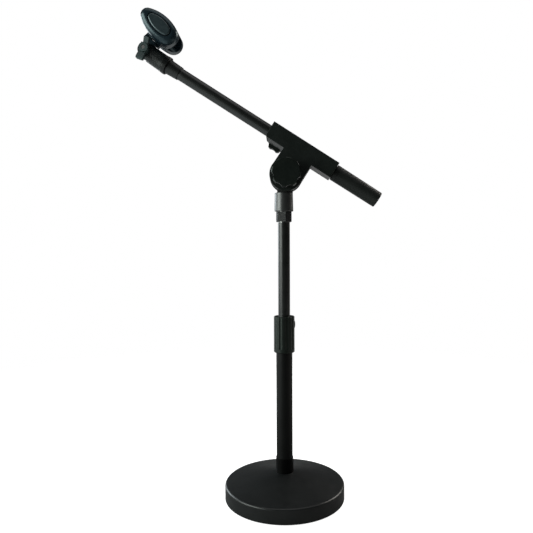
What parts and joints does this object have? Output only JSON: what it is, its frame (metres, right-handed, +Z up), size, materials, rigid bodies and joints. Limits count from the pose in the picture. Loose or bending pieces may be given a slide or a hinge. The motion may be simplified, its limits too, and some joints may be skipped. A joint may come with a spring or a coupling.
{
  "type": "desktop microphone stand",
  "caption": "Free-standing desktop microphone stand with a round weighted base, twist-lock column, tilting sliding boom and a sprung microphone clip.",
  "frame": {"origin": "centre of the underside of the base pad, on the surface the stand rests on", "axes": "+Z up along the column, boom in the XZ plane with the clip end towards -X, tilt knob facing -Y"},
  "size_m": [0.3251, 0.1624, 0.6537],
  "materials": {
    "cast_black": "matt black textured enamel on cast iron",
    "rubber_black": "moulded rubber",
    "tube_black": "satin black powder coat on steel tube",
    "zinc_steel": "zinc-plated steel",
    "nylon_natural": "natural nylon",
    "plastic_black": "fine-textured black plastic",
    "nut_black": "glossy black plated steel",
    "stem_black": "satin black zinc casting",
    "friction_fibre": "pressed friction fibre",
    "block_black": "satin black painted die casting",
    "brass_bare": "turned brass",
    "weight_black": "fine-textured black powder coat",
    "plastic_teal": "matt grey-green plastic",
    "plastic_navy": "semi-gloss dark blue-grey plastic",
    "spring_steel": "music wire",
    "pad_navy": "soft moulded finger pad"
  },
  "bodies": {
    "stand": {"base_casting": "cast_black", "base_pad": "rubber_black", "foot_ferrule": "tube_black", "lower_tube": "tube_black", "lower_tube_plug": "zinc_steel", "base_bolt": "zinc_steel", "base_washer": "zinc_steel", "clutch_body": "zinc_steel", "clutch_collet": "nylon_natural"},
    "clutch": {"clutch_grip": "plastic_black"},
    "column": {"upper_tube": "tube_black", "guide_bush": "nylon_natural", "top_stud": "zinc_steel", "lock_nut": "nut_black"},
    "head": {"head_stem": "stem_black", "friction_disc_near": "friction_fibre", "friction_disc_far": "friction_fibre"},
    "boom_head": {"boom_block": "block_black", "pivot_bolt": "zinc_steel", "knob_washer": "zinc_steel", "boom_lock_shoe": "brass_bare"},
    "tilt_clamp": {"tilt_knob": "plastic_black", "tilt_knob_nut": "brass_bare"},
    "boom_clamp": {"boom_lock_knob": "plastic_black", "boom_lock_screw": "zinc_steel"},
    "boom": {"boom_tube": "tube_black", "boom_weight": "weight_black", "boom_end_fitting": "stem_black", "boom_lock_ring": "nut_black"},
    "socket": {"clip_socket": "plastic_black", "thread_insert": "brass_bare", "clip_pivot_bolt": "zinc_steel"},
    "wing": {"wing_nut": "plastic_teal", "wing_nut_insert": "brass_bare"},
    "clip": {"clip_bracket": "plastic_navy", "hinge_pin": "zinc_steel", "jaw_spring": "spring_steel"},
    "near_jaw": {"jaw_near": "plastic_navy", "pad_near": "pad_navy"},
    "far_jaw": {"jaw_far": "plastic_navy", "pad_far": "pad_navy"}
  },
  "joints": [
    {"name": "clutch_turn", "type": "hinge", "parent": "stand", "child": "clutch", "pos_m": [0, 0, 0.223], "axis": [0, 0, 1], "range_deg": [-120, 0]},
    {"name": "column_slide", "type": "slide", "parent": "stand", "child": "column", "axis": [0, 0, 1], "range_m": [-0.1, 0.025]},
    {"name": "head_swivel", "type": "hinge", "parent": "column", "child": "head", "pos_m": [0, 0, 0.398], "axis": [0, 0, 1], "range_deg": [-180, 180]},
    {"name": "boom_tilt", "type": "hinge", "parent": "head", "child": "boom_head", "pos_m": [0.0032, 0, 0.438], "axis": [0, 1, 0], "range_deg": [-60, 40]},
    {"name": "tilt_knob_turn", "type": "hinge", "parent": "boom_head", "child": "tilt_clamp", "pos_m": [0.0032, -0.029, 0.438], "axis": [0, -1, 0], "range_deg": [0, 270]},
    {"name": "boom_lock_turn", "type": "hinge", "parent": "boom_head", "child": "boom_clamp", "pos_m": [-0.0066, 0.028, 0.48949], "axis": [0, 1, 0], "range_deg": [0, 270]},
    {"name": "boom_slide", "type": "slide", "parent": "boom_head", "child": "boom", "axis": [-0.8425, 0, 0.5388], "range_m": [-0.13, 0]},
    {"name": "socket_turn", "type": "hinge", "parent": "boom", "child": "socket", "pos_m": [-0.18436, 0, 0.60317], "axis": [-0.8425, 0, 0.5388], "range_deg": [-180, 180]},
    {"name": "wing_nut_turn", "type": "hinge", "parent": "socket", "child": "wing", "pos_m": [-0.1836, -0.012, 0.60436], "axis": [0, -1, 0], "range_deg": [-20, 20]},
    {"name": "clip_tilt", "type": "hinge", "parent": "socket", "child": "clip", "pos_m": [-0.1836, 0, 0.60436], "axis": [0, 1, 0], "range_deg": [-95, 1.5]},
    {"name": "jaw_near_open", "type": "hinge", "parent": "clip", "child": "near_jaw", "pos_m": [-0.17028, 0, 0.61777], "axis": [0.7096, 0, -0.7046], "range_deg": [0, 12], "stiffness_Nm_per_rad": 0.8, "springref_deg": -11.46},
    {"name": "jaw_far_open", "type": "hinge", "parent": "clip", "child": "far_jaw", "pos_m": [-0.17028, 0, 0.61777], "axis": [0.7096, 0, -0.7046], "range_deg": [-12, 0], "stiffness_Nm_per_rad": 0.8, "springref_deg": 11.46}
  ],
  "couplings": [
    {"joint": "jaw_far_open", "follows": "jaw_near_open", "ratio": -1}
  ]
}
